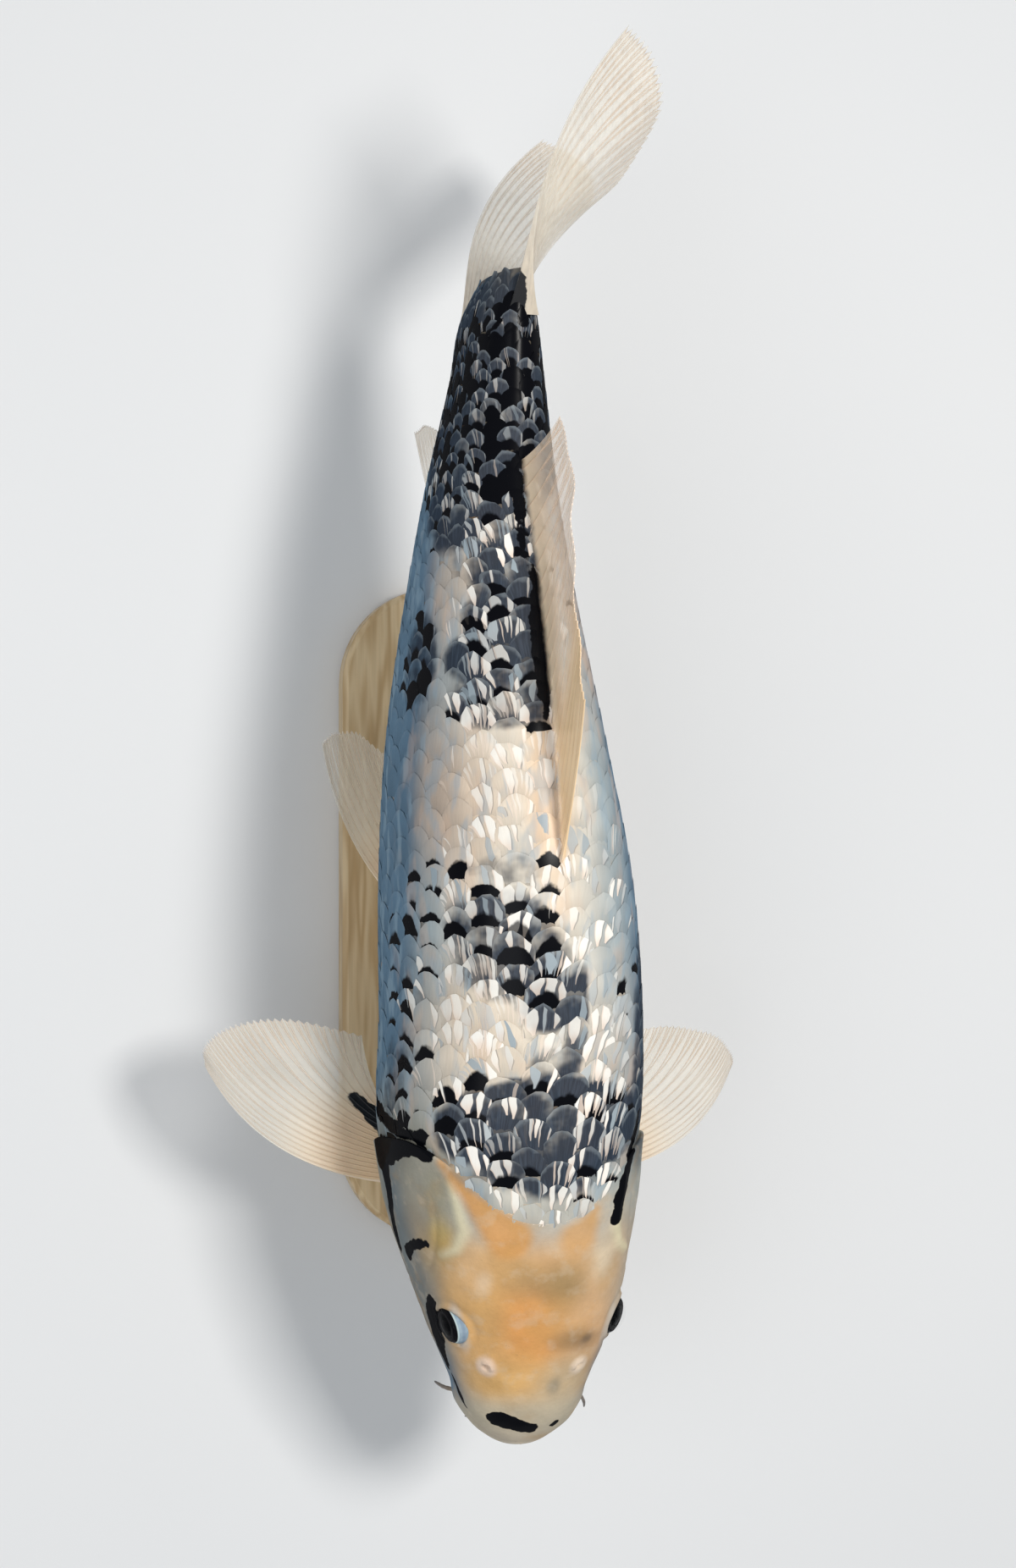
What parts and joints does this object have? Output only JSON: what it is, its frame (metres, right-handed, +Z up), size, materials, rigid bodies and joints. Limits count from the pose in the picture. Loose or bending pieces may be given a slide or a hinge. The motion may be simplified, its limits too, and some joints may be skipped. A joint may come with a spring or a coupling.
{
  "type": "koi carp",
  "caption": "Still life-size model of a white, black and orange koi carp, swimming, held level by two rods on a plain flat display stand.",
  "frame": {"origin": "centre of the underside of the stand's base", "axes": "+Y from the snout to the tail, +X to the fish's left side, +Z up"},
  "size_m": [0.2568, 0.6278, 0.251],
  "materials": {
    "head_skin": "smooth wet skin, orange-yellow fading to cream, with a black nose patch",
    "cheek_skin": "smooth wet skin, cream and pale grey",
    "scaly_skin": "wet scales, cream and white with silver streaks and black patches",
    "dark_scaly_skin": "wet scales, black with slate-grey patches",
    "fin": "thin cream membrane, half clear, with soft rays",
    "eye": "clear cornea over a dark iris and pupil",
    "barbel": "smooth soft skin, grey to cream",
    "stand_wood": "pale wood, satin",
    "stand_steel": "brushed steel"
  },
  "bodies": {
    "root": {"head": "head_skin", "lower_jaw": "cheek_skin", "gill_cover_left": "cheek_skin", "gill_cover_right": "cheek_skin", "eye_left": "eye", "eye_right": "eye", "barbel_front_left": "barbel", "barbel_front_right": "barbel", "barbel_rear_left": "barbel", "barbel_rear_right": "barbel", "trunk_front": "scaly_skin", "trunk_rear": "scaly_skin", "tail_stalk": "dark_scaly_skin", "dorsal_fin": "fin", "anal_fin": "fin", "pectoral_fin_left": "fin", "pectoral_fin_right": "fin", "pelvic_fin_left": "fin", "pelvic_fin_right": "fin", "tail_fin_upper": "fin", "tail_fin_lower": "fin", "stand_base": "stand_wood", "stand_rod_front": "stand_steel", "stand_rod_rear": "stand_steel"}
  },
  "joints": []
}
